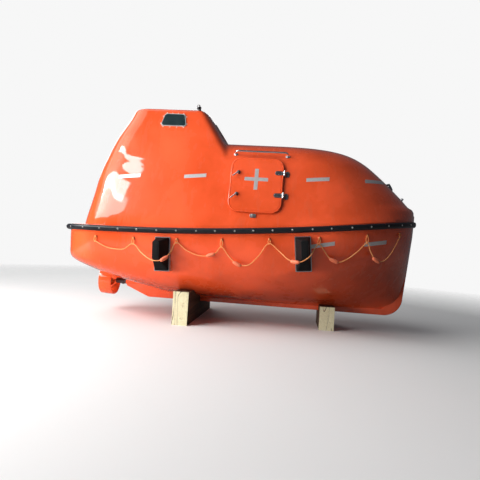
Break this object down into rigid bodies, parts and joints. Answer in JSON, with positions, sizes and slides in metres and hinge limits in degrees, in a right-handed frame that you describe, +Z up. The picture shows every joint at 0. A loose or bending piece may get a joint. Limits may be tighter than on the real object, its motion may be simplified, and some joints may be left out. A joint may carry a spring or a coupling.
{
  "type": "enclosed lifeboat",
  "caption": "Totally enclosed orange lifeboat with steering tower, side doors, end hatches, rubber fender, lifelines and steering nozzle, ashore on timber chocks.",
  "frame": {"origin": "on the floor, below the middle of the boat's length and beam", "axes": "+X forward along the keel, +Y to port, +Z up"},
  "size_m": [4.97, 2.5078, 3.2257],
  "materials": {
    "orange_grp": "glossy orange gelcoat on glass-fibre laminate",
    "cream_liner": "off-white gelcoat on the inner mouldings",
    "fender_rubber": "black extruded and moulded rubber with a slight sheen",
    "galvanised_steel": "dull hot-dip galvanised steel",
    "stainless_steel": "polished stainless steel",
    "bronze": "cast bronze, brighter at the blade tips",
    "engine_iron": "grey-green engine paint on cast iron",
    "tinted_glass": "smoke-tinted acrylic with a pale edge",
    "timber": "sawn pale softwood with drying cracks",
    "rope": "twisted orange synthetic rope",
    "black_plastic": "black moulded plastic",
    "float_foam": "salmon-orange moulded foam of the lifeline floats",
    "reflective_tape": "silver-grey retro-reflective tape"
  },
  "bodies": {
    "boat": {"hull": "orange_grp", "canopy": "orange_grp", "steering_tower": "orange_grp", "gunwale_fender": "fender_rubber", "door_hinge_upper_starboard": "stainless_steel", "door_hinge_upper_port": "stainless_steel", "door_hinge_lower_starboard": "stainless_steel", "door_hinge_lower_port": "stainless_steel", "door_stop_starboard": "galvanised_steel", "door_stop_port": "galvanised_steel", "tower_window_side_starboard": "tinted_glass", "tower_window_side_port": "tinted_glass", "tower_window_front": "tinted_glass", "tower_window_aft": "tinted_glass", "handrail_starboard": "stainless_steel", "handrail_port": "stainless_steel", "canopy_lamp": "black_plastic", "side_fender_frame_aft_starboard": "galvanised_steel", "side_fender_frame_aft_port": "galvanised_steel", "side_fender_frame_forward_starboard": "galvanised_steel", "side_fender_frame_forward_port": "galvanised_steel", "side_fender_aft_starboard": "fender_rubber", "side_fender_aft_port": "fender_rubber", "side_fender_forward_starboard": "fender_rubber", "side_fender_forward_port": "fender_rubber", "stern_tube": "galvanised_steel", "bench_starboard": "cream_liner", "bench_port": "cream_liner", "engine": "engine_iron", "engine_casing": "cream_liner", "helm_seat": "black_plastic", "helm_console": "cream_liner", "chock_aft": "timber", "chock_forward": "timber", "lifeline_starboard": "rope", "lifeline_port": "rope"},
    "starboard_door": {"door_starboard": "orange_grp", "door_strap_upper_starboard": "stainless_steel", "door_strap_lower_starboard": "stainless_steel", "door_handle_upper_starboard": "stainless_steel", "door_handle_lower_starboard": "stainless_steel"},
    "port_door": {"door_port": "orange_grp", "door_strap_upper_port": "stainless_steel", "door_strap_lower_port": "stainless_steel", "door_handle_upper_port": "stainless_steel", "door_handle_lower_port": "stainless_steel"},
    "bow_hatch": {"hatch_bow": "orange_grp"},
    "stern_hatch": {"hatch_stern": "orange_grp"},
    "helm": {"steering_wheel": "black_plastic"},
    "nozzle": {"steering_nozzle": "orange_grp"},
    "screw": {"propeller": "bronze"}
  },
  "joints": [
    {"name": "door_starboard_swing", "type": "hinge", "parent": "boat", "child": "starboard_door", "pos_m": [0.582, -0.92132, 1.93662], "axis": [0, 0.2768, 0.9609], "range_deg": [0, 150]},
    {"name": "door_port_swing", "type": "hinge", "parent": "boat", "child": "port_door", "pos_m": [0.582, 0.92132, 1.93662], "axis": [0, 0.2768, -0.9609], "range_deg": [0, 150]},
    {"name": "hatch_bow_lift", "type": "hinge", "parent": "boat", "child": "bow_hatch", "pos_m": [2.06757, 0, 2.12483], "axis": [0, -1, 0], "range_deg": [0, 100]},
    {"name": "hatch_stern_lift", "type": "hinge", "parent": "boat", "child": "stern_hatch", "pos_m": [-2.10713, 0, 2.0427], "axis": [0, 1, 0], "range_deg": [0, 100]},
    {"name": "helm_turn", "type": "hinge", "parent": "boat", "child": "helm", "pos_m": [-0.655, 0, 1.89], "axis": [1, 0, 0], "range_deg": [-420, 420]},
    {"name": "nozzle_steer", "type": "hinge", "parent": "boat", "child": "nozzle", "pos_m": [-2.038, 0, 0.45], "axis": [0, 0, 1], "range_deg": [-35, 35]},
    {"name": "propeller_spin", "type": "hinge", "parent": "boat", "child": "screw", "pos_m": [-2.038, 0, 0.45], "axis": [1, 0, 0], "continuous": true}
  ],
  "couplings": [
    {"joint": "nozzle_steer", "follows": "helm_turn", "ratio": 0.083333}
  ]
}
